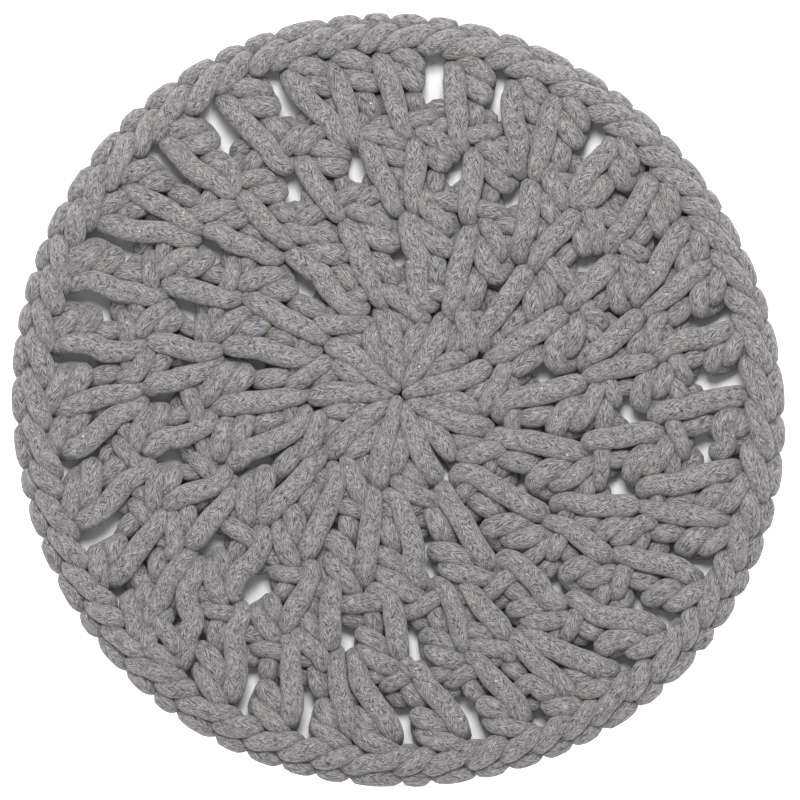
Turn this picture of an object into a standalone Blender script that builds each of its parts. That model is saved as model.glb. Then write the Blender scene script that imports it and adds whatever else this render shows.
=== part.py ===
"""Round trivet of thick cotton cord, crocheted from the middle out in four rounds.

The mat is one flat-bottomed piece. Its upper face carries the raised cord of every stitch, its rim
follows the last round's chain, and the openings between the stitches go right through it.
"""
from math import cos, pi, radians, sin

import bmesh
import bpy
import numpy as np
from mathutils import Vector
from mathutils.geometry import delaunay_2d_cdt

MM = 0.001
TURN = 360.0

# The cord, and the levels of the mat, in millimetres.
CORD_R = 2.6
VALLEY_Z = 5.4
RIM_Z = 4.2
LIP_Z = 4.4
GROOVE = 1.5

# The rim about the stitches' middle: a circle whose centre is a little off, and how it is uneven.
RIM_R = 99.4
OFF_X, OFF_Y = 1.45, 0.72
WAVES = (  # times round, height, direction of a crest in degrees
    (2, 1.37, -46.0),
    (3, 0.66, -17.3),
    (4, 0.35, -35.5),
)
SCALLOP = 1.7
SCALLOP_POINTS = 4

# The four rounds: the level of the chain that the round stands on, the level of its own chain,
# and how far its own chain's two legs lie inside and outside that level.
ROUNDS = (  # name, foot, head, inner leg, outer leg
    ("first", 9.0, 30.2, -1.9, 1.9),
    ("second", 30.2, 53.8, -2.0, 2.0),
    ("third", 53.8, 72.7, -2.3, 2.3),
    ("fourth", 72.7, 93.6, -0.4, 3.4),
)

# The pattern has nine repeats. In each, the second round has a pair of stitches and a chain, the
# third a pair, a chain, a stitch and a chain, and the fourth a stitch, a pair and a stitch with a
# chain after each. A row gives the direction in degrees of the spaces under those chains.
REPEATS = (  # second; third before and after the pair; fourth before stitch, pair and stitch
    (10.0, -3.0, 22.0, 3.5, 14.5, 32.0),
    (50.0, 36.5, 61.5, 42.0, 53.5, 72.5),
    (91.0, 77.0, 101.0, 84.5, 96.0, 112.0),
    (130.5, 117.0, 141.5, 123.5, 135.0, 151.0),
    (166.0, 157.0, 179.5, 162.0, 172.5, 191.0),
    (204.0, 195.0, 217.5, 202.5, 214.0, 233.0),
    (241.0, 232.5, 257.5, 242.5, 253.5, 271.0),
    (279.0, 273.0, 297.0, 283.0, 293.0, 310.0),
    (325.0, 310.0, 338.5, 320.0, 331.0, 353.0),
)

# The openings that are more than 4 mm long: the middle's direction and distance, then the inner
# width, the outer width and the length out from the middle, in degrees and millimetres.
OPENINGS = (  # round, direction, distance, inner width, outer width, length
    ("fourth", 3.5, 81.6, 2.0, 2.4, 12.4),
    ("fourth", 14.2, 82.0, 1.8, 1.6, 10.6),
    ("fourth", 53.4, 82.0, 2.6, 3.6, 8.6),
    ("fourth", 72.6, 83.2, 1.7, 2.2, 8.8),
    ("fourth", 84.4, 83.6, 4.2, 5.0, 10.4),
    ("fourth", 111.7, 84.8, 1.8, 2.6, 12.0),
    ("fourth", 123.6, 85.2, 3.2, 4.0, 10.4),
    ("fourth", 134.9, 86.0, 2.0, 2.6, 11.2),
    ("fourth", 151.2, 84.6, 1.5, 1.6, 7.0),
    ("fourth", 162.0, 83.6, 3.2, 3.6, 8.4),
    ("fourth", 172.6, 84.2, 2.2, 1.9, 8.6),
    ("fourth", 190.9, 87.0, 1.8, 1.8, 4.6),
    ("fourth", 203.0, 85.4, 3.6, 3.4, 10.6),
    ("fourth", 214.2, 84.0, 2.2, 2.0, 10.0),
    ("fourth", 224.9, 84.4, 1.5, 1.5, 8.6),
    ("fourth", 242.3, 85.4, 1.9, 2.0, 10.2),
    ("fourth", 253.2, 84.8, 2.3, 2.5, 10.6),
    ("fourth", 270.8, 85.0, 2.0, 1.8, 7.2),
    ("fourth", 282.6, 85.2, 2.6, 2.8, 9.0),
    ("fourth", 293.3, 87.2, 2.5, 2.6, 9.4),
    ("fourth", 310.4, 87.4, 1.9, 2.2, 5.2),
    ("fourth", 320.2, 87.0, 2.2, 2.2, 5.0),
    ("fourth", 330.8, 87.6, 1.7, 1.9, 6.0),
    ("fourth", 352.4, 78.6, 3.2, 2.6, 5.0),
    ("third", 356.6, 58.2, 3.2, 2.6, 5.2),
    ("third", 36.4, 58.8, 3.6, 2.4, 6.2),
    ("third", 61.5, 58.6, 3.4, 2.2, 5.0),
    ("third", 77.2, 59.0, 3.6, 2.6, 5.6),
    ("third", 101.0, 60.4, 3.4, 4.0, 7.2),
    ("third", 117.4, 61.0, 2.6, 2.2, 7.0),
    ("third", 141.0, 62.6, 2.0, 2.6, 5.0),
    ("third", 156.8, 60.4, 2.6, 3.2, 5.6),
    ("third", 179.6, 62.0, 2.2, 2.2, 4.4),
    ("third", 194.0, 61.8, 5.0, 3.6, 5.4),
    ("third", 217.4, 60.4, 2.4, 2.0, 5.4),
    ("third", 232.2, 61.4, 4.8, 4.4, 8.8),
    ("third", 257.4, 63.8, 3.4, 2.4, 5.6),
    ("third", 272.8, 64.0, 2.2, 2.6, 6.8),
    ("third", 309.6, 62.4, 2.0, 2.0, 4.6),
    ("third", 338.4, 59.6, 4.4, 3.8, 5.8),
    ("second", 11.0, 36.2, 3.0, 1.6, 4.6),
    ("second", 91.0, 36.4, 5.0, 3.4, 4.4),
    ("second", 130.4, 38.8, 4.0, 2.6, 7.0),
    ("second", 166.2, 38.6, 2.2, 2.4, 4.4),
    ("second", 203.6, 40.8, 1.8, 2.2, 4.6),
    ("second", 278.8, 43.4, 2.6, 2.8, 4.4),
)
OPENING_EASE = 0.30

# The strands of one stitch that show. A strand runs through its points; side is to the left, out is
# 0 at the chain stood on and 1 at the stitch's own chain, and height is that of the cord's middle.
STITCH = (  # strand, side, out, height
    ("left shoulder", 4.7, 0.90, 5.6),
    ("left shoulder", 0.6, 0.75, 7.0),
    ("left shoulder", -3.7, 0.60, 6.2),
    ("right shoulder", -1.0, 0.92, 5.4),
    ("right shoulder", -4.0, 0.66, 6.4),
    ("wrap", 4.1, 0.74, 6.2),
    ("wrap", -1.2, 0.52, 7.4),
    ("wrap", -6.0, 0.36, 5.2),
    ("post", 6.2, 0.76, 5.6),
    ("post", 4.9, 0.50, 7.4),
    ("post", 1.3, 0.29, 8.2),
    ("post", -1.3, 0.07, 8.4),
    ("post", -2.6, -0.12, 6.4),
    ("foot", 3.7, 0.18, 6.8),
    ("foot", 3.5, -0.02, 7.8),
    ("foot", 1.7, -0.20, 7.4),
    ("foot", -1.2, -0.26, 6.2),
)
# The same for one link of chain, with side in shares of the link's width and out in millimetres.
LINK = (  # strand, side, out from the leg's level, height
    ("inner leg", 0.66, -2.6, 6.4),
    ("inner leg", 0.25, -1.4, 8.0),
    ("inner leg", -0.20, 0.9, 8.0),
    ("inner leg", -0.58, 2.6, 6.4),
    ("outer leg", 0.50, -1.4, 5.0),
    ("outer leg", 0.22, -0.2, 5.6),
    ("outer leg", -0.22, -0.2, 5.6),
    ("outer leg", -0.52, -1.8, 5.0),
)
FLAT_LINK = 0.45
SUNK = 1.0
# The cord that lies out from the closed middle, between the first round's posts.
PETAL = (  # distance out, height
    (1.6, 6.0),
    (6.0, 7.6),
    (11.0, 8.2),
    (16.0, 7.2),
)
PETALS = 15

# A pair's two feet stand this far apart, and a chain spans this share of a stitch each side of its
# space.
PAIR_FEET = 3.0
CHAIN_SHARE = 0.22

# How closely the face's points stand, in millimetres.
STRAND_STEP = 0.7
RIDGE_STEP = 2.4
RIDGE_GAP = 1.9
VALLEY_GAP = 2.25
EDGE_GAP = 1.3
FIELD_STEP = 0.6
MARGIN = 6.0
CELL = 2.4
HIDDEN = 0.4
HOLE_REACH = 9.0


def rim_radius(angle):
    """Distance of the rim from the stitches' middle, in the direction angle in radians."""
    r = RIM_R - OFF_X * cos(angle) - OFF_Y * sin(angle)
    for times, height, crest in WAVES:
        r += height * cos(times * (angle - radians(crest)))
    return r


def place(degrees, level):
    """The point in millimetres at a direction and a nominal distance, on the uneven round."""
    angle = radians(degrees)
    share = level / RIM_R
    r = level * (1.0 + (rim_radius(angle) / RIM_R - 1.0) * share * share)
    return np.array((r * cos(angle), r * sin(angle)))


def spaces(column):
    """The directions of one column's spaces, in order round the mat."""
    return [row[column] for row in REPEATS]


def repeats():
    """Each repeat's row with the next one's, whose directions go on past a whole turn."""
    last = tuple(direction + TURN for direction in REPEATS[0])
    return zip(REPEATS, REPEATS[1:] + (last,))


def groups(name):
    """The groups of stitches of a round: (first space, next space, stitches, foot direction)."""
    found = []
    if name == "first":
        half = TURN / len(REPEATS) / 2
        return [(m - half, m + half, 1, m) for m in spaces(0)]
    if name == "second":
        ends = spaces(0) + [REPEATS[0][0] + TURN]
        return [(a, b, 2, (a + b) / 2) for a, b in zip(ends, ends[1:])]
    if name == "third":
        for row, after in repeats():
            found.append((row[1], row[2], 2, (row[1] + row[2]) / 2))
            found.append((row[2], after[1], 1, (row[2] + after[1]) / 2))
        return found
    for row, after in repeats():
        found.append((row[3], row[4], 1, (row[1] + row[2]) / 2))
        found.append((row[4], row[5], 2, row[2]))
        found.append((row[5], after[3], 1, after[1]))
    return found


def stitches(name):
    """(foot direction, head direction) of each stitch of a round."""
    found = []
    for start, end, count, foot in groups(name):
        for k in range(count):
            head = start + (end - start) * (k + 0.5) / count
            found.append((foot + (k - (count - 1) / 2) * PAIR_FEET, head))
    return found


def links(name):
    """(older end, newer end) in degrees of each link of a round's chain."""
    found = []
    for start, end, count, foot in groups(name):
        over = 0.0 if name == "first" else CHAIN_SHARE * (end - start) / count
        cuts = np.linspace(start + over, end - over, count + 1)
        found += list(zip(cuts, cuts[1:]))
        if name != "first":
            found.append((end - over, end + over))
    return found


def strands():
    """Every raised strand, as an array of rows x, y, height in millimetres."""
    found = []
    for name, foot_r, head_r, inner, outer in ROUNDS:
        for foot, head in stitches(name):
            found += stitch_strands(foot, head, foot_r, head_r)
        for older, newer in links(name):
            flat = 1.0 if name == "fourth" else FLAT_LINK
            found += link_strands(older, newer, head_r + inner, head_r + outer, flat)
    for k in range(PETALS):
        angle = TURN * k / PETALS
        found.append(np.array([(*place(angle, out), height) for out, height in PETAL]))
    return found


def stitch_strands(foot, head, foot_r, head_r):
    """The strands of one stitch that stands from foot to head."""
    found = {}
    for strand, side, out, height in STITCH:
        level = foot_r + (head_r - foot_r) * out
        turn = foot + (head - foot) * min(max(out, 0.0), 1.0)
        turn += side / level * 180.0 / pi
        found.setdefault(strand, []).append((*place(turn, level), height))
    return [np.array(rows) for rows in found.values()]


def link_strands(older, newer, inner, outer, flat):
    """The two legs of one link of chain. A round that is worked over lies flatter."""
    found = {}
    middle, width = (older + newer) / 2, newer - older
    for strand, side, out, height in LINK:
        level = (inner if strand == "inner leg" else outer) + out * flat
        low = height if flat == 1.0 else height - SUNK
        found.setdefault(strand, []).append((*place(middle + side * width, level), low))
    return [np.array(rows) for rows in found.values()]


def resampled(line, step):
    """A strand's points at about equal steps."""
    gaps = np.linalg.norm(np.diff(line[:, :2], axis=0), axis=1)
    along = np.concatenate(([0.0], np.cumsum(gaps)))
    count = max(2, int(round(along[-1] / step)) + 1)
    at = np.linspace(0.0, along[-1], count)
    return np.stack([np.interp(at, along, line[:, k]) for k in range(3)], axis=1)


def outline():
    """The rim's corners, anticlockwise, with a scallop for each link of the last chain."""
    corners = []
    for older, newer in links("fourth"):
        for k in range(SCALLOP_POINTS):
            share = k / SCALLOP_POINTS
            dip = SCALLOP * (1.0 - sin(pi * share)) ** 2
            corners.append(place(older + (newer - older) * share, RIM_R - dip))
    return corners


def opening(row):
    """One opening's corners, anticlockwise, round and wider at one end."""
    name, direction, distance, inner, outer, length = row
    angle = radians(direction)
    out = np.array((cos(angle), sin(angle)))
    side = np.array((-out[1], out[0]))
    centre = place(direction, distance)
    count = 8 if length > 6.0 else 7
    corners = []
    for k in range(count):
        turn = 2.0 * pi * (k + 0.5) / count
        along = 0.5 * (length - OPENING_EASE) * cos(turn)
        width = inner + (outer - inner) * (0.5 + along / length)
        corners.append(centre + out * along + side * 0.56 * width * sin(turn))
    return corners


class Field:
    """The height of the upper face, worked out from the strands on a fine square grid."""

    def __init__(self, lines):
        self.low = -RIM_R - MARGIN
        self.size = int(2 * (RIM_R + MARGIN) / FIELD_STEP) + 1
        self.axis = self.low + FIELD_STEP * np.arange(self.size)
        self.z = np.full((self.size, self.size), VALLEY_Z)
        self.owner = np.zeros((self.size, self.size), int)
        for number, line in enumerate(lines):
            for x, y, z in resampled(line, STRAND_STEP):
                self.stamp(x, y, z, number + 1)
        self.groove()

    def groove(self):
        """Lowers the face where one strand meets the next."""
        meet = np.zeros(self.z.shape, bool)
        for axis in (0, 1):
            differ = np.diff(self.owner, axis=axis) != 0
            low = [slice(None), slice(None)]
            high = [slice(None), slice(None)]
            low[axis], high[axis] = slice(0, -1), slice(1, None)
            meet[tuple(low)] |= differ
            meet[tuple(high)] |= differ
        self.z = np.where(meet, np.maximum(self.z - GROOVE, VALLEY_Z), self.z)

    def stamp(self, x, y, z, number):
        i0, j0 = (int((v - CORD_R - self.low) / FIELD_STEP) for v in (x, y))
        n = int(2 * CORD_R / FIELD_STEP) + 2
        xs, ys = self.axis[i0 : i0 + n], self.axis[j0 : j0 + n]
        d2 = (xs[:, None] - x) ** 2 + (ys[None, :] - y) ** 2
        top = np.where(d2 < CORD_R**2, z + np.sqrt(np.maximum(CORD_R**2 - d2, 0.0)), 0.0)
        window = self.z[i0 : i0 + n, j0 : j0 + n]
        higher = top > window
        window[higher] = top[higher]
        self.owner[i0 : i0 + n, j0 : j0 + n][higher] = number

    def at(self, x, y):
        i, j = (int(round((v - self.low) / FIELD_STEP)) for v in (x, y))
        return float(self.z[i, j])


class Spread:
    """Points that are kept at least a set distance apart."""

    def __init__(self):
        self.cells = {}
        self.points = []

    def near(self, x, y, gap):
        ci, cj = int(x // CELL), int(y // CELL)
        for i in range(ci - 1, ci + 2):
            for j in range(cj - 1, cj + 2):
                for px, py in self.cells.get((i, j), ()):
                    if (px - x) ** 2 + (py - y) ** 2 < gap * gap:
                        return True
        return False

    def add(self, x, y):
        self.cells.setdefault((int(x // CELL), int(y // CELL)), []).append((x, y))
        self.points.append((x, y))


def inside(x, y, corners):
    """Whether a point is inside a ring of corners."""
    hit = False
    for (x0, y0), (x1, y1) in zip(corners, corners[1:] + corners[:1]):
        if (y0 > y) != (y1 > y) and x < x0 + (x1 - x0) * (y - y0) / (y1 - y0):
            hit = not hit
    return hit


def near_ring(x, y, ring, gap):
    """Whether a point is within a distance of a ring's sides."""
    for (x0, y0), (x1, y1) in zip(ring, ring[1:] + ring[:1]):
        dx, dy = x1 - x0, y1 - y0
        t = min(max(((x - x0) * dx + (y - y0) * dy) / (dx * dx + dy * dy), 0.0), 1.0)
        if (x0 + t * dx - x) ** 2 + (y0 + t * dy - y) ** 2 < gap * gap:
            return True
    return False


def face_points(lines, field, rim, holes):
    """The upper face's free points: along each strand first, then the lowest places between."""
    spread = Spread()
    reach = [(np.mean(h, axis=0), h) for h in holes]
    inner_limit = RIM_R - MARGIN

    def allowed(x, y):
        if x * x + y * y > inner_limit**2:
            if not inside(x, y, rim) or near_ring(x, y, rim, EDGE_GAP):
                return False
        for centre, hole in reach:
            if (centre[0] - x) ** 2 + (centre[1] - y) ** 2 < HOLE_REACH**2:
                if inside(x, y, hole) or near_ring(x, y, hole, EDGE_GAP):
                    return False
        return True

    for line in lines:
        for x, y, z in resampled(line, RIDGE_STEP):
            if field.at(x, y) > z + CORD_R + HIDDEN or spread.near(x, y, RIDGE_GAP):
                continue
            if allowed(x, y):
                spread.add(x, y)
    order = np.argsort(field.z, axis=None, kind="stable")
    for flat in order:
        i, j = divmod(int(flat), field.size)
        x, y = float(field.axis[i]), float(field.axis[j])
        if x * x + y * y > (RIM_R + MARGIN / 2) ** 2 or spread.near(x, y, VALLEY_GAP):
            continue
        if allowed(x, y):
            spread.add(x, y)
    return spread.points


def triangles(rings, free):
    """Corner points and triangles that fill the first ring and leave the others open."""
    points = [Vector(p) for ring in rings for p in ring] + [Vector(p) for p in free]
    edges = []
    start = 0
    for ring in rings:
        n = len(ring)
        edges += [(start + k, start + (k + 1) % n) for k in range(n)]
        start += n
    coords, _, faces, _, _, _ = delaunay_2d_cdt(points, edges, [], 0, 1e-5)
    kept = []
    for face in faces:
        x, y = np.mean([coords[v] for v in face], axis=0)
        if inside(x, y, rings[0]) and not any(inside(x, y, r) for r in rings[1:]):
            kept.append(tuple(face))
    return [(float(c[0]), float(c[1])) for c in coords], kept


def mat_mesh():
    """The whole mat as one closed mesh."""
    lines = strands()
    rim = [tuple(p) for p in outline()]
    holes = [[tuple(p) for p in opening(row)] for row in OPENINGS]
    field = Field(lines)
    free = face_points(lines, field, rim, holes)
    rings = [rim] + holes
    xs, ys = [p[0] for p in rim], [p[1] for p in rim]
    centre = (max(xs) + min(xs)) / 2, (max(ys) + min(ys)) / 2

    bm = bmesh.new()
    edge_count = sum(len(r) for r in rings)
    top_xy, top_faces = triangles(rings, free)
    low_xy, low_faces = triangles(rings, [])

    def corner(x, y, z):
        return bm.verts.new(((x - centre[0]) * MM, (y - centre[1]) * MM, z * MM))

    top = []
    for k, (x, y) in enumerate(top_xy):
        if k < len(rim):
            z = RIM_Z
        elif k < edge_count:
            z = LIP_Z
        else:
            z = field.at(x, y)
        top.append(corner(x, y, z))
    low = [corner(x, y, 0.0) for x, y in low_xy]
    for face in top_faces:
        bm.faces.new([top[v] for v in face])
    for face in low_faces:
        bm.faces.new([low[v] for v in reversed(face)])
    start = 0
    for ring in rings:
        n = len(ring)
        for k in range(n):
            a, b = start + k, start + (k + 1) % n
            bm.faces.new((low[a], low[b], top[b], top[a]))
        start += n
    bmesh.ops.recalc_face_normals(bm, faces=bm.faces)
    mesh = bpy.data.meshes.new("trivet")
    bm.to_mesh(mesh)
    bm.free()
    return mesh


def cotton():
    """Soft grey cotton cord."""
    material = bpy.data.materials.new("grey_cotton_cord")
    material.use_nodes = True
    shader = material.node_tree.nodes["Principled BSDF"]
    shader.inputs["Base Color"].default_value = (0.26, 0.25, 0.25, 1.0)
    shader.inputs["Roughness"].default_value = 0.92
    return material


def main():
    for item in list(bpy.data.objects):
        bpy.data.objects.remove(item)
    collection = bpy.data.collections.new("round_trivet")
    bpy.context.scene.collection.children.link(collection)
    trivet = bpy.data.objects.new("trivet", mat_mesh())
    trivet.data.materials.append(cotton())
    collection.objects.link(trivet)


main()
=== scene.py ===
from math import cos, pi, radians, sin

import bpy
import numpy as np
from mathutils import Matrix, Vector
from mathutils.kdtree import KDTree


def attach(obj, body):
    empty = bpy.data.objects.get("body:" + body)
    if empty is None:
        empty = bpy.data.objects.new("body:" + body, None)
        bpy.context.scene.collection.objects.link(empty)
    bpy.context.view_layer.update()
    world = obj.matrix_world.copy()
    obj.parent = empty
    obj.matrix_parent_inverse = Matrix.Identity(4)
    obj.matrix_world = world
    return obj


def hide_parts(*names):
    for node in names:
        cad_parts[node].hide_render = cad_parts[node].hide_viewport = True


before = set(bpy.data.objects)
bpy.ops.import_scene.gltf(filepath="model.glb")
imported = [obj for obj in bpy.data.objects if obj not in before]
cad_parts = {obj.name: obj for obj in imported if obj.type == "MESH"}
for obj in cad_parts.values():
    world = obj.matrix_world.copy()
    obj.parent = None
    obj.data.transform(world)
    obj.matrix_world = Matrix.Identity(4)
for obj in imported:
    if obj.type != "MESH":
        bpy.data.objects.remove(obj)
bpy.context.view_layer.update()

# The four rounds of crochet
# One thick grey cotton cord, worked from a drawn-up ring outwards in four rounds of double
# crochet, right-handed, with the right side up. Each round is built as the cord's own path
# through its stitches, pressed by its neighbours, and then given its thickness.

MM = 0.001
CORD_R = 2.6
# The rim is an uneven circle, whose middle lies a little off the stitches' middle.
RIM_R = 99.9
OFF_X, OFF_Y = 1.45, 0.72
WAVES = (  # times round, height in mm, direction of a crest in degrees
    (2, 1.37, -46.0),
    (3, 0.66, -17.3),
    (4, 0.35, -35.5),
)

# How far from the middle in mm the chain lies that a round stands on, and its own.
LEVELS = {"first": (7.4, 30.2), "second": (30.2, 53.8), "third": (53.8, 72.2), "fourth": (72.2, 94.2)}

# Nine repeats of the pattern. A row gives the direction in degrees of the spaces between its
# groups of stitches, as they lie in this mat.
REPEATS = (  # second; third before and after the pair; fourth before stitch, pair and stitch
    (10.0, -3.0, 22.0, 3.5, 14.5, 32.0),
    (50.0, 36.5, 61.5, 42.0, 53.5, 72.5),
    (91.0, 77.0, 101.0, 84.5, 96.0, 112.0),
    (130.5, 117.0, 141.5, 123.5, 135.0, 151.0),
    (166.0, 157.0, 179.5, 162.0, 172.5, 191.0),
    (204.0, 195.0, 217.5, 202.5, 214.0, 233.0),
    (241.0, 232.5, 257.5, 242.5, 253.5, 271.0),
    (279.0, 273.0, 297.0, 283.0, 293.0, 310.0),
    (325.0, 310.0, 338.5, 320.0, 331.0, 353.0),
)
# The notches between the links of the outer chain, seven in each repeat.
NOTCHES = (  # stitch, space, pair's first, pair's second, space, stitch, space
    (12.3, 18.0, 24.2, 30.5, 35.2, 40.8, 46.0),
    (51.5, 56.5, 62.7, 70.5, 75.3, 81.3, 86.4),
    (91.9, 96.2, 101.4, 109.3, 114.6, 119.0, 125.6),
    (131.6, 136.6, 143.3, 149.4, 155.7, 160.5, 165.8),
    (170.2, 176.9, 183.8, 190.6, 195.3, 201.2, 207.1),
    (213.7, 218.3, 224.8, 230.0, 234.3, 240.9, 246.4),
    (251.8, 257.1, 262.1, 270.0, 274.5, 281.2, 286.5),
    (291.7, 296.6, 301.5, 307.9, 312.8, 319.5, 323.8),
    (329.4, 333.9, 339.6, 345.1, 351.9, 357.6, 365.4),
)
TURN = 360.0
# Nearer the middle than this the cord lies straight out from it: a place aside has the direction
# that it would have this far out.
NEAR_R = 24.0
# The ring in the middle is drawn a little to one side.
MIDDLE_X, MIDDLE_Y, MIDDLE_REACH = -0.7, 1.3, 40.0
# How far apart the feet of a pair stand, as a share of the pair's width at the top.
PAIR_FEET = {"first": 0.0, "second": 0.43, "third": 0.27, "fourth": 0.26}
# The hand's unevenness from stitch to stitch: aside, bow and height in mm, and share of thickness.
# Each round has its own seed for it.
UNEVEN = np.array((0.5, 1.1, 0.5, 0.06))
SEEDS = {"first": 3, "second": 5, "third": 8, "fourth": 13}

# The cord's course through one stitch. Left is in mm towards the newer stitches, out runs from 0
# at the chain stood on to 1 at the stitch's own chain, up is in mm above the table, and thick is
# the cord's own radius in mm there, less where it is drawn tight inside the mat.
STITCH = (  # part, left, out, up, thick
    ("neck", -0.4, 1.06, 3.2, 1.9),
    ("neck", -1.0, 0.99, 5.6, 2.3),
    ("neck", -2.2, 0.88, 7.8, 2.45),
    ("neck", -3.8, 0.76, 8.2, 2.4),
    ("neck", -5.0, 0.67, 6.2, 2.2),
    ("wrap", -5.2, 0.60, 4.0, 1.9),
    ("wrap", -5.6, 0.48, 3.8, 1.9),
    ("wrap", -5.8, 0.39, 5.8, 2.3),
    ("wrap", -4.4, 0.42, 8.0, 2.5),
    ("wrap", -2.5, 0.50, 9.0, 2.6),
    ("wrap", -0.5, 0.60, 9.0, 2.55),
    ("wrap", 1.6, 0.70, 7.6, 2.4),
    ("wrap", 3.0, 0.79, 4.8, 2.0),
    ("post", 4.0, 0.85, 3.2, 1.8),
    ("post", 4.5, 0.80, 4.8, 2.0),
    ("post", 4.4, 0.70, 7.2, 2.2),
    ("post", 4.1, 0.55, 8.8, 2.4),
    ("post", 3.5, 0.36, 9.2, 2.55),
    ("post", 2.7, 0.17, 9.4, 2.6),
    ("post", 1.7, 0.00, 9.4, 2.65),
    ("post", 0.7, -0.14, 8.6, 2.55),
    ("post", -0.4, -0.23, 6.6, 2.3),
    ("post", -1.8, -0.23, 4.8, 2.1),
    ("foot", -2.9, -0.14, 5.2, 2.1),
    ("foot", -3.3, -0.02, 7.4, 2.25),
    ("foot", -3.1, 0.11, 8.6, 2.35),
    ("foot", -2.8, 0.23, 8.2, 2.35),
    ("foot", -2.6, 0.33, 6.0, 2.1),
    ("neck", -3.6, 0.43, 3.8, 1.9),
    ("neck", -4.8, 0.51, 2.6, 1.8),
    ("neck", -5.4, 0.57, 3.6, 1.9),
    ("neck", -5.2, 0.61, 5.8, 2.2),
    ("neck", -3.6, 0.65, 8.2, 2.5),
    ("neck", -1.2, 0.73, 9.0, 2.6),
    ("neck", 1.5, 0.83, 8.8, 2.6),
    ("neck", 4.0, 0.93, 6.6, 2.3),
    ("neck", 4.8, 1.00, 4.4, 1.9),
    ("neck", 3.4, 1.03, 2.8, 1.8),
)
# The same for the two strands of a first stitch that lie out from the closed middle. They take the
# place of the stitch's rows from the fourth row of its post up to the fifth of its foot.
KEPT_ABOVE, LEFT_BELOW = 3, 5
PETAL = (  # part, left, distance, up, thick
    ("post", 3.9, 18.5, 9.2, 2.7),
    ("post", 3.8, 13.5, 9.2, 2.5),
    ("post", 3.7, 8.5, 9.0, 2.15),
    ("post", 3.5, 4.6, 8.6, 1.75),
    ("post", 3.0, 2.0, 7.6, 1.4),
    ("post", 0.0, 0.9, 5.6, 1.1),
    ("foot", -3.6, 2.2, 6.6, 1.2),
    ("foot", -4.2, 4.8, 7.8, 1.5),
    ("foot", -4.4, 8.5, 8.8, 2.0),
    ("foot", -4.5, 12.5, 9.2, 2.5),
    ("foot", -4.4, 16.5, 8.6, 2.6),
    ("foot", -4.2, 19.0, 6.6, 2.2),
)
# The same for one link of the chain. Along is a share of the link from its older end, out is in mm
# from the chain's level.
LINK = (  # part, along, out, up, thick
    ("outer leg", -0.12, 0.8, 3.4, 1.9),
    ("outer leg", 0.04, 2.3, 6.0, 2.4),
    ("outer leg", 0.30, 3.3, 7.4, 2.6),
    ("outer leg", 0.70, 3.3, 7.0, 2.6),
    ("outer leg", 0.98, 2.0, 4.8, 2.2),
    ("head", 1.22, -0.6, 3.3, 1.9),
    ("head", 1.36, -2.0, 5.0, 2.1),
    ("inner leg", 1.22, -2.6, 7.4, 2.3),
    ("inner leg", 0.84, -2.1, 9.0, 2.4),
    ("inner leg", 0.44, -1.0, 9.4, 2.4),
    ("inner leg", 0.04, 0.4, 8.6, 2.4),
    ("inner leg", -0.20, 0.7, 6.2, 2.2),
    ("inner leg", -0.14, -1.2, 3.4, 1.9),
)
# A chain leans this far in mm towards the newer stitches.
CHAIN_LEAN = 2.5
# A chain that is worked over is pressed down: what is above LOW_Z sinks, and what is SUNK_RISE
# higher or more sinks by all of SUNK.
SUNK = 1.0
LOW_Z = 4.0
SUNK_RISE = 3.0


def rim_radius(angle):
    """Distance of the rim from the stitches' middle, in one or many directions in radians."""
    r = RIM_R - OFF_X * np.cos(angle) - OFF_Y * np.sin(angle)
    for times, height, crest in WAVES:
        r += height * np.cos(times * (angle - radians(crest)))
    return r


def place(degrees, level, up, thick):
    """A row x, y, z, thickness in mm, at a direction and distance on the uneven round."""
    angle = radians(degrees)
    share = max(level, 0.0) / RIM_R
    r = level * (1.0 + (rim_radius(angle) / RIM_R - 1.0) * share * share)
    near = max(0.0, 1.0 - level / MIDDLE_REACH) ** 2
    return (r * cos(angle) + MIDDLE_X * near, r * sin(angle) + MIDDLE_Y * near, up, thick)


def repeats():
    """Each repeat's row with the next one's, whose directions go on past a whole turn."""
    last = tuple(direction + TURN for direction in REPEATS[0])
    return zip(REPEATS, REPEATS[1:] + (last,))


def groups(name):
    """The groups of stitches of a round: (first space, next space, stitches, foot direction)."""
    found = []
    for row, after in repeats():
        if name == "first":
            half = TURN / len(REPEATS) / 2
            found.append((row[0] - half, row[0] + half, 1, row[0]))
        elif name == "second":
            found.append((row[0], after[0], 2, (row[0] + after[0]) / 2))
        elif name == "third":
            found.append((row[1], row[2], 2, (row[1] + row[2]) / 2))
            found.append((row[2], after[1], 1, (row[2] + after[1]) / 2))
        else:
            found.append((row[3], row[4], 1, (row[1] + row[2]) / 2))
            found.append((row[4], row[5], 2, row[2]))
            found.append((row[5], after[3], 1, after[1]))
    return found


def stitches(name):
    """(foot direction, head direction, whether a chain follows) of each stitch of a round."""
    found = []
    for start, end, count, foot in groups(name):
        for k in range(count):
            head = start + (end - start) * (k + 0.5) / count
            chain = k == count - 1 and name != "first"
            apart = PAIR_FEET[name] * (end - start)
            found.append((foot + (k - (count - 1) / 2) * apart, head, chain))
    return found


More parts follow.
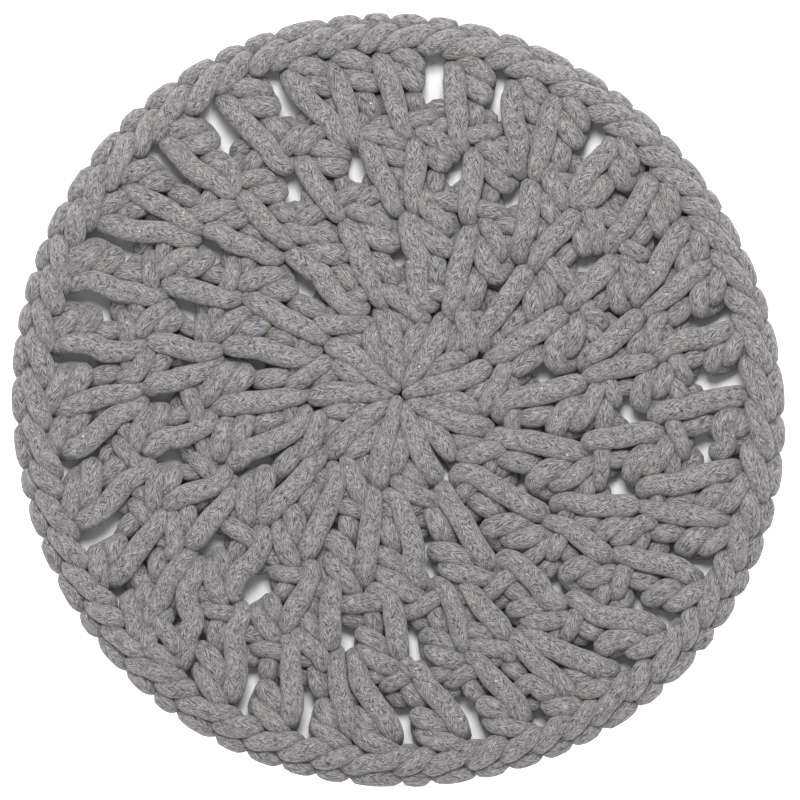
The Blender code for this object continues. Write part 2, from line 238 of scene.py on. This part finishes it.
def stitch_points(name, foot, head, hand):
    """The points of one stitch's course, with the hand's unevenness."""
    shift, bow, lift, fat = hand.uniform(-1.0, 1.0, 4) * UNEVEN
    foot_r, head_r = LEVELS[name]
    deep = head_r - foot_r
    rows = [(part, left, foot_r + deep * out, up, thick) for part, left, out, up, thick in STITCH]
    if name == "first":
        parts = [part for part, *_ in rows]
        above = parts.index("post") + KEPT_ABOVE
        below = parts.index("foot") + LEFT_BELOW
        rows = rows[:above] + list(PETAL) + rows[below:]
    found = []
    for _, left, level, up, thick in rows:
        share = (level - foot_r) / deep
        turn = foot + (head - foot) * min(max(share, 0.0), 1.0)
        left += shift + bow * sin(pi * min(max(share, 0.0), 1.0))
        turn += left / max(level, NEAR_R) * 180.0 / pi
        found.append(place(turn, level, up + lift, thick * (1.0 + fat)))
    return found


def link_points(older, newer, level, sunk):
    """The points of one link's course, at a level in mm from the middle."""
    wide = newer - older
    found = []
    for _, along, out, up, thick in LINK:
        up -= sunk * min(1.0, max(0.0, (up - LOW_Z) / SUNK_RISE))
        found.append(place(older + wide * along, level + out, up, thick))
    return found


def course(name):
    """The points of a whole round's course, closed."""
    foot_r, head_r = LEVELS[name]
    lean = CHAIN_LEAN / head_r * 180.0 / pi
    sunk = 0.0 if name == "fourth" else SUNK
    ends = []
    row = stitches(name)
    for k, (_, head, chain) in enumerate(row):
        after = row[(k + 1) % len(row)][1] + (TURN if k == len(row) - 1 else 0.0)
        ends.append([head + lean, (head + after) / 2 + lean] if chain else [head + lean])
    if name == "fourth":
        # Its links are measured: a stitch, a pair and a stitch, with a chain after each of the three.
        ends = []
        for a, b, c, d, e, f, g in NOTCHES:
            ends += [[a, b], [c], [d, e], [f, g]]
    marks = [mark for end in ends for mark in end]
    marks.append(marks[0] + TURN)
    hand = np.random.default_rng(SEEDS[name])
    points = []
    n = 0
    for (foot, head, _), end in zip(row, ends):
        # Where the links are measured, a stitch's top goes two thirds of the way to its own link.
        head = (head + 2 * (end[0] - lean)) / 3
        points += stitch_points(name, foot, head, hand)
        for _ in end:
            points += link_points(marks[n], marks[n + 1], head_r, sunk)
            n += 1
    return np.array(points)


# A course's curve is first worked out at this many places from each point to the next.
PLACES = 8


def smooth_closed(points, step):
    """A closed curve through the points, sampled at equal steps."""
    p0, p1 = np.roll(points, 1, axis=0), points
    p2, p3 = np.roll(points, -1, axis=0), np.roll(points, -2, axis=0)
    parts = []
    for t in np.linspace(0.0, 1.0, PLACES, endpoint=False):
        a = 2 * p1 + (p2 - p0) * t + (2 * p0 - 5 * p1 + 4 * p2 - p3) * t * t
        parts.append(0.5 * (a + (3 * p1 - p0 - 3 * p2 + p3) * t**3))
    dense = np.stack(parts, axis=1).reshape(-1, points.shape[1])
    gaps = np.linalg.norm((np.roll(dense, -1, axis=0) - dense)[:, :3], axis=1)
    along = np.concatenate(([0.0], np.cumsum(gaps)))
    count = int(round(along[-1] / step))
    at = np.linspace(0.0, along[-1], count, endpoint=False)
    dense = np.vstack((dense, dense[:1]))
    return np.stack([np.interp(at, along, dense[:, k]) for k in range(dense.shape[1])], axis=1)


# How the cord gives when its turns are pressed together. Two turns are pushed apart to this share of
# their two radii, because soft cord flattens. Hidden turns that others hold don't get that far.
TIGHT = 0.87
# The mat's top is pressed level. Of what the cord's middle is above TOP_Z in a pass, and its finished
# surface above PRESSED_Z, this share is taken off.
TOP_Z = 9.0
PRESSED_Z = 10.6
LEVELLED = 0.3
# A turn whose middle is above HIDDEN_Z begins to show, and SHOWN_RISE higher it shows fully. A turn
# that shows is held nearer its place, as a share of the way back a pass, and it gives way to others
# and goes to fill a hole less, by these shares.
HIDDEN_Z = 5.0
SHOWN_RISE = 2.5
HOLD_ASIDE, HOLD_ASIDE_SHOWN = 0.05, 0.09
HOLD_UP, HOLD_UP_SHOWN = 0.02, 0.06
SHOWN_GIVE = 0.85
SHOWN_STAYS = 0.5
# The share of a turn's way out of another that it goes in a pass, and what it has more if it shows.
PUSH, PUSH_SHOWN = 0.25, 0.7
# The cord's length and its bend are kept by these shares a pass.
KEEP_LENGTH = 0.35
KEEP_BEND, LAST_BEND = 0.18, 0.3
# Where the cord has room it swells, up to SWELL times its thickness or FULL_R, and where it is
# pressed hard it thins. The steps and the loads, in mm of squeeze, are those of one pass.
SWELL, FULL_R, THIN = 1.4, 2.95, 0.93
LIGHT_LOAD, SWELL_STEP = 0.8, 0.03
HEAVY_LOAD, THIN_STEP = 2.0, 0.012
# No surface of the cord is lower than this above the table.
CLEAR = 0.15
# The cord rests on the table and stays inside the rim by these shares of its radius.
ON_TABLE, IN_RIM = 0.96, 0.97
# The number of passes, how often the pairs are found and the holes filled, and the passes at the
# end that only smooth.
PASSES, QUICK_PASSES = 90, 30
PAIRS_EVERY, HOLES_EVERY, LAST_PASSES = 8, 6, 12
# The distance between the points of the course while it is pressed, and in the finished cord, which
# is made a little thicker and with so many sides.
STEP, FINE_STEP = 1.5, 1.2
FULLER = 1.01
SIDES = 12
# Two points of one round are neighbours along the cord up to this many steps apart.
NEAR_STEPS = 4
# Turns this much further apart in mm than two thick cords touch are still followed.
LOOK_FURTHER = 1.2
# The least that a distance counts where something is divided by it.
TINY = 1e-6


def press(rounds, passes):
    """Moves the rounds' points apart where the cord's turns run into each other, pass by pass. The
    turns that lie on top keep their place, and the ones below them give way."""
    counts = [len(r) for r in rounds]
    rows = np.vstack(rounds)
    x, radius = rows[:, :3].copy(), rows[:, 3]
    home = x.copy()
    shown = np.clip((home[:, 2] - HIDDEN_Z) / SHOWN_RISE, 0.0, 1.0)
    aside = HOLD_ASIDE + HOLD_ASIDE_SHOWN * shown
    hold = np.column_stack((aside, aside, HOLD_UP + HOLD_UP_SHOWN * shown))
    give = 1.0 - SHOWN_GIVE * shown
    owner = np.repeat(np.arange(len(rounds)), counts)
    starts = np.concatenate(([0], np.cumsum(counts)))
    before, after = np.arange(len(x)) - 1, np.arange(len(x)) + 1
    for k in range(len(counts)):
        before[starts[k]] = starts[k + 1] - 1
        after[starts[k + 1] - 1] = starts[k]
    rest = np.linalg.norm(x[after] - x, axis=1)
    gaps = gap_shapes()
    cells = closed_cells(gaps)
    thin, full = THIN * radius, np.minimum(SWELL * radius, FULL_R)
    for turn in range(passes):
        swelling = turn > passes // 4
        last = turn >= passes - LAST_PASSES
        if turn % PAIRS_EVERY == 0:
            first, second = near_pairs(x, owner, counts)
            share = (give[first] / (give[first] + give[second]))[:, None]
            stiff = (PUSH + PUSH_SHOWN * np.maximum(shown[first], shown[second]))[:, None]
        apart = x[second] - x[first]
        gap = np.maximum(np.linalg.norm(apart, axis=1), TINY)
        want = (radius[first] + radius[second]) * TIGHT
        push = np.where(gap < want, 0.5 * (want - gap) / gap, 0.0)[:, None] * apart * stiff
        if swelling:
            squeeze = np.maximum(want - gap, 0.0)
            load = np.bincount(first, squeeze, len(x)) + np.bincount(second, squeeze, len(x))
            radius = radius + np.where(load < LIGHT_LOAD, SWELL_STEP, 0.0)
            radius = radius - np.where(load > HEAVY_LOAD, THIN_STEP, 0.0)
            radius = np.clip(radius, thin, full)
            radius = 0.6 * radius + 0.2 * (radius[before] + radius[after])
        for k in range(3):
            x[:, k] += np.bincount(second, (push * (1.0 - share))[:, k], len(x))
            x[:, k] -= np.bincount(first, (push * share)[:, k], len(x))
        link = x[after] - x
        span = np.maximum(np.linalg.norm(link, axis=1), TINY)
        fix = (KEEP_LENGTH * (span - rest) / span)[:, None] * link
        x += fix
        x[after] -= fix
        x += KEEP_BEND * ((x[before] + x[after]) / 2 - x)
        x += hold * (home - x)
        if last:
            x += LAST_BEND * ((x[before] + x[after]) / 2 - x)
        if swelling and not last and turn % HOLES_EVERY == HOLES_EVERY - 1:
            moved = fill_holes(x, radius, cells) * (1.0 - SHOWN_STAYS * shown)[:, None]
            for _ in range(EVENINGS):
                moved = 0.5 * moved + 0.25 * (moved[before] + moved[after])
            x[:, :2] += moved
            home[:, :2] += moved
        clear_gaps(x, radius, gaps)
        reach = np.hypot(x[:, 0], x[:, 1])
        limit = rim_radius(np.arctan2(x[:, 1], x[:, 0])) - IN_RIM * radius
        x[:, :2] *= np.minimum(1.0, limit / np.maximum(reach, TINY))[:, None]
        x[:, 2] = np.clip(x[:, 2], radius * ON_TABLE, None)
        x[:, 2] -= LEVELLED * np.maximum(x[:, 2] - TOP_Z, 0.0)
    x = np.column_stack((x, radius))
    return [x[starts[k] : starts[k + 1]] for k in range(len(rounds))]


# The open gaps that show the table, measured from the stitches' middle in degrees and mm.
GAPS = (  # round, direction, distance, inner width, outer width, length
    ("fourth", 3.5, 81.6, 2.0, 2.4, 12.4),
    ("fourth", 14.2, 82.0, 1.8, 1.6, 10.6),
    ("fourth", 53.4, 82.0, 2.6, 3.6, 8.6),
    ("fourth", 72.6, 83.2, 1.7, 2.2, 8.8),
    ("fourth", 84.4, 83.6, 4.2, 5.0, 10.4),
    ("fourth", 111.7, 84.8, 1.8, 2.6, 12.0),
    ("fourth", 123.6, 85.2, 3.2, 4.0, 10.4),
    ("fourth", 134.9, 86.0, 2.0, 2.6, 11.2),
    ("fourth", 151.2, 84.6, 1.5, 1.6, 7.0),
    ("fourth", 162.0, 83.6, 3.2, 3.6, 8.4),
    ("fourth", 172.6, 84.2, 2.2, 1.9, 8.6),
    ("fourth", 190.9, 87.0, 1.8, 1.8, 4.6),
    ("fourth", 204.0, 85.8, 3.6, 4.0, 10.6),
    ("fourth", 214.2, 84.0, 2.2, 2.0, 10.0),
    ("fourth", 224.9, 84.4, 1.5, 1.5, 8.6),
    ("fourth", 242.3, 85.4, 1.9, 2.0, 10.2),
    ("fourth", 253.2, 84.8, 2.3, 2.5, 10.6),
    ("fourth", 270.8, 85.0, 2.0, 1.8, 7.2),
    ("fourth", 282.6, 85.2, 2.6, 2.8, 9.0),
    ("fourth", 293.3, 87.2, 2.5, 2.6, 9.4),
    ("fourth", 310.4, 87.4, 1.9, 2.2, 5.2),
    ("fourth", 320.2, 87.0, 2.2, 2.2, 5.0),
    ("fourth", 330.8, 87.6, 1.7, 1.9, 6.0),
    ("fourth", 352.4, 78.6, 3.2, 2.6, 5.0),
    ("third", 356.6, 58.2, 3.2, 2.6, 5.2),
    ("third", 36.4, 58.8, 3.6, 2.4, 6.2),
    ("third", 61.5, 58.6, 3.4, 2.2, 5.0),
    ("third", 77.2, 59.0, 3.6, 2.6, 5.6),
    ("third", 101.0, 60.4, 3.4, 4.0, 7.2),
    ("third", 117.4, 61.0, 2.6, 2.2, 7.0),
    ("third", 141.0, 62.6, 2.0, 2.6, 5.0),
    ("third", 156.8, 60.4, 2.6, 3.2, 5.6),
    ("third", 179.6, 62.0, 2.2, 2.2, 4.4),
    ("third", 194.0, 61.8, 5.0, 3.6, 5.4),
    ("third", 217.4, 60.4, 2.4, 2.0, 5.4),
    ("third", 232.2, 61.4, 5.8, 5.4, 8.8),
    ("third", 257.4, 63.8, 3.4, 2.4, 5.6),
    ("third", 272.8, 64.0, 2.2, 2.6, 6.8),
    ("third", 309.6, 62.4, 2.0, 2.0, 4.6),
    ("third", 338.4, 59.6, 4.4, 3.8, 5.8),
    ("second", 11.0, 36.2, 3.0, 1.6, 4.6),
    ("second", 91.0, 36.4, 5.0, 3.4, 4.4),
    ("second", 130.4, 38.8, 4.0, 2.6, 7.0),
    ("second", 166.2, 38.6, 2.2, 2.4, 4.4),
    ("second", 203.6, 40.8, 1.8, 2.2, 4.6),
    ("second", 278.8, 43.4, 2.6, 2.8, 4.4),
)
# A gap keeps its measured width but for this ease, and half of it is nowhere less than
# LEAST_HALF_GAP. Only cord within reach of a gap is moved out of it.
GAP_EASE = 0.05
LEAST_HALF_GAP = 0.4
GAP_REACH_ALONG, GAP_REACH_ASIDE = 4.0, 8.0
# Holes that the mat doesn't have are looked for at spots this far apart, as far out as CELLS_R and
# no nearer a gap than GAP_EDGE. A spot further than HOLE_R from any cord pulls on those of its
# HOLE_TURNS nearest points that are at most HOLE_REACH further off than the nearest. It pulls by
# HOLE_PULL and its own width, and a point goes HOLE_SHARE of the mean of such pulls, which are then
# evened out along the cord so many times.
CELL = 1.3
CELLS_R = 90.0
GAP_EDGE = 0.6
HOLE_R = 0.1
HOLE_TURNS, HOLE_REACH = 8, 1.0
HOLE_PULL, HOLE_SHARE = 0.3, 0.45
EVENINGS = 3


def gap_shapes():
    """Each gap's middle, the direction out, and its half length and half widths."""
    found = []
    for _, degrees, distance, inner, outer, length in GAPS:
        angle = radians(degrees)
        middle = (distance * cos(angle), distance * sin(angle))
        found.append((middle, (cos(angle), sin(angle)), length / 2, inner / 2, outer / 2))
    return found


def along_and_aside(x, y, middle, out):
    """How far places lie from a gap's middle, along the gap and aside from it."""
    dx, dy = x - middle[0], y - middle[1]
    return dx * out[0] + dy * out[1], dy * out[0] - dx * out[1]


def clear_gaps(x, radius, gaps):
    """Moves the points whose cord would cover a gap out to its edge."""
    for middle, out, half, inner, outer in gaps:
        along, aside = along_and_aside(x[:, 0], x[:, 1], middle, out)
        near = (np.abs(along) < half + GAP_REACH_ALONG) & (np.abs(aside) < GAP_REACH_ASIDE)
        if not near.any():
            continue
        along, aside = along[near], aside[near]
        t = np.clip(along / half, -1.0, 1.0)
        width = np.where(t < 0, inner, outer) * np.sqrt(np.maximum(1.0 - t * t, 0.0)) ** 0.5
        width = np.maximum(width, LEAST_HALF_GAP)
        spine = np.clip(along, -half + width, half - width)
        rise = along - spine
        away = np.maximum(np.hypot(rise, aside), TINY)
        need = np.maximum(radius[near] + width - GAP_EASE - away, 0.0)
        rise, side = rise / away * need, aside / away * need
        x[near, 0] += rise * out[0] - side * out[1]
        x[near, 1] += rise * out[1] + side * out[0]


def closed_cells(gaps):
    """Spots all over the mat that aren't in a gap, where cord has to be seen."""
    across = np.arange(-CELLS_R - 2.0, CELLS_R + 2.0, CELL)
    x, y = np.meshgrid(across, across)
    x, y = x.ravel(), y.ravel()
    keep = np.hypot(x, y) < CELLS_R
    for middle, out, half, inner, outer in gaps:
        along, aside = along_and_aside(x, y, middle, out)
        keep &= (np.abs(along) > half + GAP_EDGE) | (np.abs(aside) > max(inner, outer) + GAP_EDGE)
    return np.stack((x[keep], y[keep]), axis=1)


def fill_holes(x, radius, cells):
    """How far each point moves towards the open spots next to it."""
    tree = KDTree(len(x))
    for k, p in enumerate(x):
        tree.insert((p[0], p[1], 0.0), k)
    tree.balance()
    pull, times = np.zeros((len(x), 2)), np.zeros(len(x))
    for cell in cells:
        near = tree.find_n((cell[0], cell[1], 0.0), HOLE_TURNS)
        free = min(far - radius[k] for _, k, far in near)
        if free > HOLE_R:
            for _, k, far in near:
                if far - radius[k] < free + HOLE_REACH:
                    pull[k] += (cell - x[k, :2]) / far * (HOLE_PULL + free)
                    times[k] += 1.0
    return HOLE_SHARE * pull / np.maximum(times, 1.0)[:, None]


def near_pairs(x, owner, counts):
    """Pairs of points that are near each other but not near along the cord."""
    tree = KDTree(len(x))
    for k, p in enumerate(x):
        tree.insert(p, k)
    tree.balance()
    first, second = [], []
    for k, p in enumerate(x):
        for _, other, _ in tree.find_range(p, 2 * CORD_R + LOOK_FURTHER):
            if other > k:
                first.append(k)
                second.append(other)
    first, second = np.array(first), np.array(second)
    steps = np.abs(second - first)
    steps = np.minimum(steps, np.array(counts)[owner[first]] - steps)
    keep = (owner[first] != owner[second]) | (steps > NEAR_STEPS)
    return first[keep], second[keep]


# The cord's map, "cord", runs once round it and has this many mm of its length in a unit.
MAP_LONG = 100.0


def tube(name, points, radius, sides):
    """A closed cord through the points, with a map of how far along and round it a place is."""
    n = len(points)
    ahead = np.roll(points, -1, axis=0) - np.roll(points, 1, axis=0)
    ahead /= np.linalg.norm(ahead, axis=1)[:, None]
    normal = np.zeros_like(points)
    start = np.cross(ahead[0], (0.0, 0.0, 1.0))
    normal[0] = start / np.linalg.norm(start)
    for k in range(1, n):
        v = normal[k - 1] - ahead[k] * np.dot(normal[k - 1], ahead[k])
        normal[k] = v / np.linalg.norm(v)
    v = normal[-1] - ahead[0] * np.dot(normal[-1], ahead[0])
    side = np.cross(ahead[0], normal[0])
    slip = np.arctan2(np.dot(v, side), np.dot(v, normal[0]))
    turns = np.arange(n) / n * -slip
    across = np.cross(ahead, normal)
    c, s = np.cos(turns)[:, None], np.sin(turns)[:, None]
    normal, across = normal * c + across * s, across * c - normal * s
    theta = np.arange(sides) / sides * 2 * pi
    ring = np.cos(theta)[None, :, None] * normal[:, None, :]
    ring = ring + np.sin(theta)[None, :, None] * across[:, None, :]
    verts = (points[:, None, :] + ring * radius[:, None, None]).reshape(-1, 3)
    verts[:, 2] -= LEVELLED * np.maximum(verts[:, 2] - PRESSED_Z, 0.0)
    verts[:, 2] = np.maximum(verts[:, 2], CLEAR)
    verts *= MM
    k, j = np.meshgrid(np.arange(n), np.arange(sides), indexing="ij")
    k2, j2 = (k + 1) % n, (j + 1) % sides
    quads = np.stack((k * sides + j, k * sides + j2, k2 * sides + j2, k2 * sides + j), axis=-1)
    quads = quads.reshape(-1, 4)
    mesh = bpy.data.meshes.new(name)
    mesh.from_pydata(verts.tolist(), [], quads.tolist())
    gaps = np.linalg.norm(np.roll(points, -1, axis=0) - points, axis=1)
    along = np.concatenate(([0.0], np.cumsum(gaps)))
    u = np.stack((j, j + 1, j + 1, j), axis=-1).reshape(-1, 4) / sides
    v = np.stack((along[k], along[k], along[k + 1], along[k + 1]), axis=-1).reshape(-1, 4)
    layer = mesh.uv_layers.new(name="cord")
    spread = np.stack((u, v / MAP_LONG), axis=-1).reshape(-1)
    layer.data.foreach_set("uv", spread.astype(np.float32))
    mesh.polygons.foreach_set("use_smooth", np.ones(len(quads), bool))
    mesh.update()
    item = bpy.data.objects.new(name, mesh)
    bpy.context.scene.collection.objects.link(item)
    return item


def math_node(tree, kind, first, second=None, third=None):
    """A math node on up to three values or sockets. Returns its output."""
    node = tree.nodes.new("ShaderNodeMath")
    node.operation = kind
    for k, value in enumerate((first, second, third)):
        if value is None:
            continue
        if isinstance(value, (int, float)):
            node.inputs[k].default_value = value
        else:
            tree.links.new(value, node.inputs[k])
    return node.outputs[0]


def noise_node(tree, spot, scale, detail, rough):
    """A noise between 0 and 1 at a spot. Returns its value's output."""
    node = tree.nodes.new("ShaderNodeTexNoise")
    node.inputs["Scale"].default_value = scale
    node.inputs["Detail"].default_value = detail
    node.inputs["Roughness"].default_value = rough
    tree.links.new(spot, node.inputs["Vector"])
    return node.outputs[0]


def spread_node(tree, value, low, high):
    """A value stretched from low..high to 0..1 and kept there. Returns its output."""
    node = tree.nodes.new("ShaderNodeMapRange")
    node.inputs["From Min"].default_value = low
    node.inputs["From Max"].default_value = high
    tree.links.new(value, node.inputs["Value"])
    return node.outputs["Result"]


def mix_node(tree, share, first, second):
    """A mix of two colours or colour sockets. Returns its output."""
    node = tree.nodes.new("ShaderNodeMix")
    node.data_type = "RGBA"
    sockets = [i for i in node.inputs if i.type == "RGBA"]
    tree.links.new(share, node.inputs[0])
    for socket, value in zip(sockets, (first, second)):
        if isinstance(value, tuple):
            socket.default_value = value
        else:
            tree.links.new(value, socket)
    return [o for o in node.outputs if o.type == "RGBA"][0]


# The cord's fibres: length and width of a tuft in mm, how far it turns round the cord in radians
# a mm, and how many ribs of each slant lie round the cord and how sharply they meet.
FIBRE_LONG = 1.1
FIBRE_WIDE = 0.2
FIBRE_SLANT = 0.22
RIBS = 6.0
RIB_EDGE = 0.3
# The fibres that slant the other way have other tufts, which are taken this far along.
OTHER_TUFTS = 40.0
# How much of its light a place has from the tufts along the cord, and from the fine and the coarse
# spots, which have so many to a metre. The sum is spread from the dark end to the light one.
TUFT_LIGHT = 1.04
FINE_SPOTS, FINE_LIGHT = 2600.0, 0.36
COARSE_SPOTS, COARSE_LIGHT, COARSE_HEIGHT = 600.0, 0.25, 0.6
DARK_END, LIGHT_END = 0.62, 1.05


def fibre_group():
    """The cord's fibres as a group: how light each place is, and how high its fibres stand."""
    group = bpy.data.node_groups.new("cord_fibres", "ShaderNodeTree")
    for name in ("Light", "Height"):
        group.interface.new_socket(name, in_out="OUTPUT", socket_type="NodeSocketFloat")
    out = group.nodes.new("NodeGroupOutput")
    uv = group.nodes.new("ShaderNodeUVMap")
    uv.uv_map = "cord"
    split = group.nodes.new("ShaderNodeSeparateXYZ")
    group.links.new(uv.outputs[0], split.inputs[0])
    along = math_node(group, "MULTIPLY", split.outputs[1], MAP_LONG)
    round_angle = math_node(group, "MULTIPLY", split.outputs[0], 2 * pi)
    streaks = []
    for slope, shift in ((FIBRE_SLANT, 0.0), (-FIBRE_SLANT, OTHER_TUFTS)):
        angle = math_node(group, "MULTIPLY_ADD", along, slope, round_angle)
        spot = group.nodes.new("ShaderNodeCombineXYZ")
        parts = (
            math_node(group, "MULTIPLY_ADD", along, 1.0 / FIBRE_LONG, shift),
            math_node(group, "MULTIPLY", math_node(group, "COSINE", angle), CORD_R / FIBRE_WIDE),
            math_node(group, "MULTIPLY", math_node(group, "SINE", angle), CORD_R / FIBRE_WIDE),
        )
        for socket, part in zip(spot.inputs, parts):
            group.links.new(part, socket)
        streaks.append(noise_node(group, spot.outputs[0], 1.0, 1.0, 0.5))
    ribs = math_node(group, "SINE", math_node(group, "MULTIPLY", round_angle, RIBS))
    side = spread_node(group, ribs, -RIB_EDGE, RIB_EDGE)
    mixed = group.nodes.new("ShaderNodeMix")
    group.links.new(side, mixed.inputs[0])
    group.links.new(streaks[0], mixed.inputs[2])
    group.links.new(streaks[1], mixed.inputs[3])
    streak = mixed.outputs[0]
    spot = group.nodes.new("ShaderNodeTexCoord").outputs["Object"]
    fine = noise_node(group, spot, FINE_SPOTS, 1.0, 0.5)
    coarse = noise_node(group, spot, COARSE_SPOTS, 2.0, 0.5)
    light = math_node(group, "MULTIPLY", streak, TUFT_LIGHT)
    light = math_node(group, "MULTIPLY_ADD", fine, FINE_LIGHT, light)
    light = math_node(group, "MULTIPLY_ADD", coarse, COARSE_LIGHT, light)
    group.links.new(spread_node(group, light, DARK_END, LIGHT_END), out.inputs["Light"])
    height = math_node(group, "MULTIPLY_ADD", coarse, COARSE_HEIGHT, streak)
    group.links.new(height, out.inputs["Height"])
    return group


# The cotton's light and dark ends, each from a cool to a warm grey, which change in spots so many to
# a metre.
PALE = ((0.338, 0.341, 0.366, 1.0), (0.405, 0.372, 0.345, 1.0))
DEEP = ((0.027, 0.028, 0.036, 1.0), (0.048, 0.038, 0.033, 1.0))
WARM_SPOTS = 1500.0
COOL_END, WARM_END = 0.35, 0.65
# The few stray fibres of other colours, and the step in which their edge blurs.
FLECKS = (  # colour, spots a metre, how rare
    ((0.20, 0.09, 0.08, 1.0), 1150.0, 0.82),
    ((0.08, 0.12, 0.24, 1.0), 1060.0, 0.83),
    ((0.06, 0.18, 0.18, 1.0), 930.0, 0.86),
    ((0.58, 0.57, 0.56, 1.0), 1240.0, 0.855),
)
FLECK_EDGE = 0.03


def cotton(name):
    """Soft grey cotton cord: fine fibres that lie aslant both ways, light and dark, in matt grey."""
    material = bpy.data.materials.new(name)
    material.use_nodes = True
    tree = material.node_tree
    shader = tree.nodes["Principled BSDF"]
    shader.inputs["Roughness"].default_value = 0.95
    shader.inputs["Specular IOR Level"].default_value = 0.15
    shader.inputs["Sheen Weight"].default_value = 0.25
    shader.inputs["Sheen Roughness"].default_value = 0.6
    fibres = tree.nodes.new("ShaderNodeGroup")
    fibres.node_tree = fibre_group()
    spot = tree.nodes.new("ShaderNodeTexCoord").outputs["Object"]
    warm = noise_node(tree, spot, WARM_SPOTS, 1.0, 0.5)
    warm = spread_node(tree, warm, COOL_END, WARM_END)
    pale, deep = mix_node(tree, warm, *PALE), mix_node(tree, warm, *DEEP)
    colour = mix_node(tree, fibres.outputs["Light"], deep, pale)
    for tint, scale, edge in FLECKS:
        mask = spread_node(tree, noise_node(tree, spot, scale, 0.0, 0.5), edge, edge + FLECK_EDGE)
        colour = mix_node(tree, mask, colour, tint)
    tree.links.new(colour, shader.inputs["Base Color"])
    bump = tree.nodes.new("ShaderNodeBump")
    bump.inputs["Strength"].default_value = 0.8
    bump.inputs["Distance"].default_value = 0.0003
    tree.links.new(fibres.outputs["Height"], bump.inputs["Height"])
    tree.links.new(bump.outputs["Normal"], shader.inputs["Normal"])
    return material


names = tuple(LEVELS)
rounds = [smooth_closed(course(name), STEP) for name in names]
rounds = press(rounds, PASSES)
every = np.vstack(rounds)
middle = (every.min(axis=0) + every.max(axis=0)) / 2
centre = np.array((middle[0], middle[1], 0.0))
grey = cotton("grey_cotton_cord")
for name, points in zip(names, rounds):
    rows = smooth_closed(points, FINE_STEP)
    item = tube(f"round_{name}", rows[:, :3] - centre, rows[:, 3] * FULLER, SIDES)
    item.data.materials.append(grey)
    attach(item, "root")
    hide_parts("trivet")

# The table
# A plain, smooth white table top that the mat lies on, wide enough to fill the view. Beyond the mat,
# from GLOW_START and fully from GLOW_FULL off the middle, it has a painted glow: it gives off light
# of its own, which makes it pure white there and washes out the mat's shadow on it. In the mat's gaps
# it has only the room's light.

TABLE_WIDE = 3.0
GLOW_START, GLOW_FULL = 0.0925, 0.0955

bpy.ops.mesh.primitive_plane_add(size=TABLE_WIDE)
table = bpy.context.object
table.name = "table"
white = bpy.data.materials.new("white_table_painted_glow")
white.use_nodes = True
tree = white.node_tree
shader = tree.nodes["Principled BSDF"]
shader.inputs["Base Color"].default_value = (0.90, 0.90, 0.90, 1.0)
shader.inputs["Roughness"].default_value = 0.9
# Painted glow: white light of the table's own beyond the mat, which washes out the mat's shadow
# there.
shader.inputs["Emission Color"].default_value = (1.0, 1.0, 1.0, 1.0)
far = tree.nodes.new("ShaderNodeVectorMath")
far.operation = "LENGTH"
spot = tree.nodes.new("ShaderNodeTexCoord").outputs["Object"]
tree.links.new(spot, far.inputs[0])
painted_glow = spread_node(tree, far.outputs["Value"], GLOW_START, GLOW_FULL)
tree.links.new(painted_glow, shader.inputs["Emission Strength"])
table.data.materials.append(white)

# The light and the camera
# Even, soft light from all sides, with one square light over the top edge of the picture that sets
# the shadows in the gaps, and a camera straight above the mat.

ROOM_LIGHT = 0.74
LIGHT_AT, LIGHT_WIDE, LIGHT_WATTS = (0.0, 0.37, 0.84), 0.28, 7.6
# The camera's place, the height in m at which the picture is VIEW_WIDE across, and its sensor.
CAMERA_AT = (0.0003, -0.0001, 1.2)
VIEW_AT, VIEW_WIDE = 0.006, 0.2062
SENSOR = 36.0

world = bpy.data.worlds.new("room")
bpy.context.scene.world = world
world.use_nodes = True
world.node_tree.nodes["Background"].inputs["Color"].default_value = (1.0, 1.0, 1.0, 1.0)
world.node_tree.nodes["Background"].inputs["Strength"].default_value = ROOM_LIGHT

data = bpy.data.lights.new("key", "AREA")
data.size = LIGHT_WIDE
data.energy = LIGHT_WATTS
light = bpy.data.objects.new("key", data)
light.location = LIGHT_AT
light.rotation_euler = (-Vector(LIGHT_AT)).to_track_quat("-Z", "Y").to_euler()
bpy.context.scene.collection.objects.link(light)

camera = bpy.data.objects.new("camera", bpy.data.cameras.new("camera"))
bpy.context.scene.collection.objects.link(camera)
bpy.context.scene.camera = camera
camera.location = CAMERA_AT
camera.data.sensor_width = SENSOR
camera.data.lens = SENSOR * (CAMERA_AT[2] - VIEW_AT) / VIEW_WIDE
bpy.context.scene.view_settings.view_transform = "Standard"
